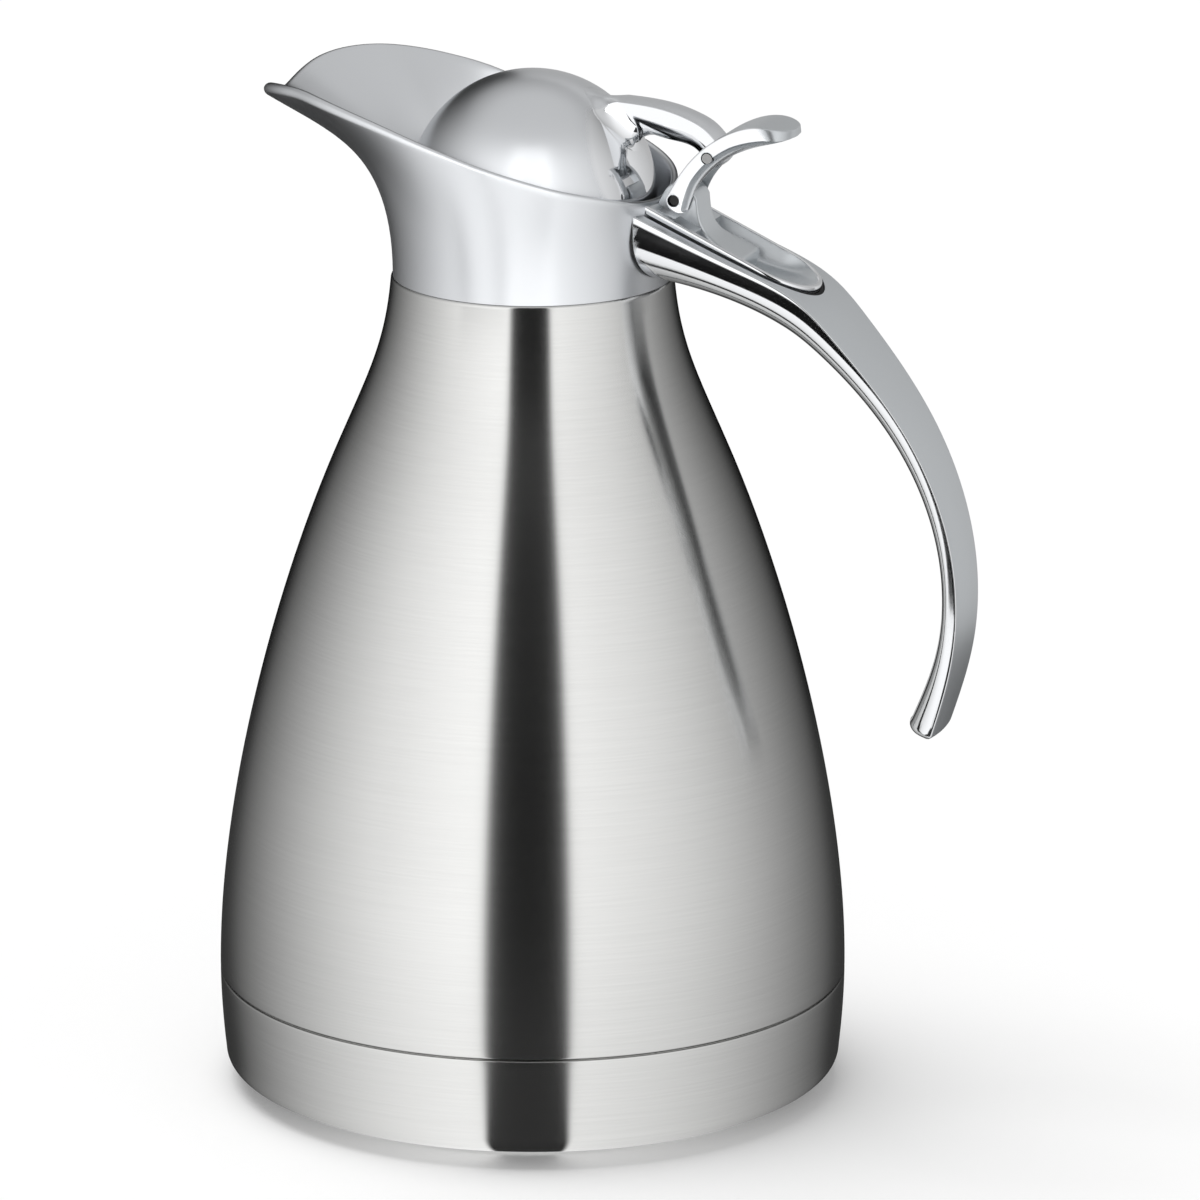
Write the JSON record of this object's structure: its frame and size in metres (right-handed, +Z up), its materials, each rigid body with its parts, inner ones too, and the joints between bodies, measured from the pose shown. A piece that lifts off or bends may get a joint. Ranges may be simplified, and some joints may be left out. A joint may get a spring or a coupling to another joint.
{
  "type": "beverage server",
  "caption": "Bell-shaped stainless vacuum jug with a brushed body, flared pouring spout, round hinged lid on a strap arm, thumb lever and open chrome handle.",
  "frame": {"origin": "centre of the foot ring on the plane the jug stands on", "axes": "+Z up the flask's axis, +X towards the handle, -X towards the spout, +Y across"},
  "size_m": [0.183, 0.1504, 0.2468],
  "materials": {
    "brushed_steel": "fine circumferential brushing",
    "flask_steel": "plain satin, drawn",
    "satin_chrome": "satin plated",
    "bright_chrome": "polished plated, satin on the handle's back",
    "fastener_steel": "turned",
    "black_rubber": "matte",
    "black_plastic": "fine matte",
    "seal_metal": "dull cast"
  },
  "bodies": {
    "flask": {"outer_shell": "brushed_steel", "base_cup": "brushed_steel", "inner_liner": "flask_steel", "liner_floor": "flask_steel", "vacuum_floor": "flask_steel", "evacuation_seal": "seal_metal", "getter": "seal_metal", "neck_gasket": "black_rubber", "spout_collar": "satin_chrome", "seat_ring": "black_rubber", "pour_seat": "black_plastic", "handle": "bright_chrome", "handle_gasket": "black_rubber", "collar_screws": "fastener_steel", "hinge_saddle": "bright_chrome", "saddle_gasket": "black_rubber", "handle_screw": "fastener_steel", "hinge_pin": "fastener_steel"},
    "lid": {"lid_dome": "satin_chrome", "stopper": "black_plastic", "lid_seal": "black_rubber", "lid_screw": "fastener_steel", "thumb_lever": "bright_chrome", "arm_pin": "fastener_steel"}
  },
  "joints": [
    {"name": "lid_hinge", "type": "hinge", "parent": "flask", "child": "lid", "pos_m": [0.0377, 0, 0.2201], "axis": [0, 1, 0], "range_deg": [0, 48]}
  ]
}
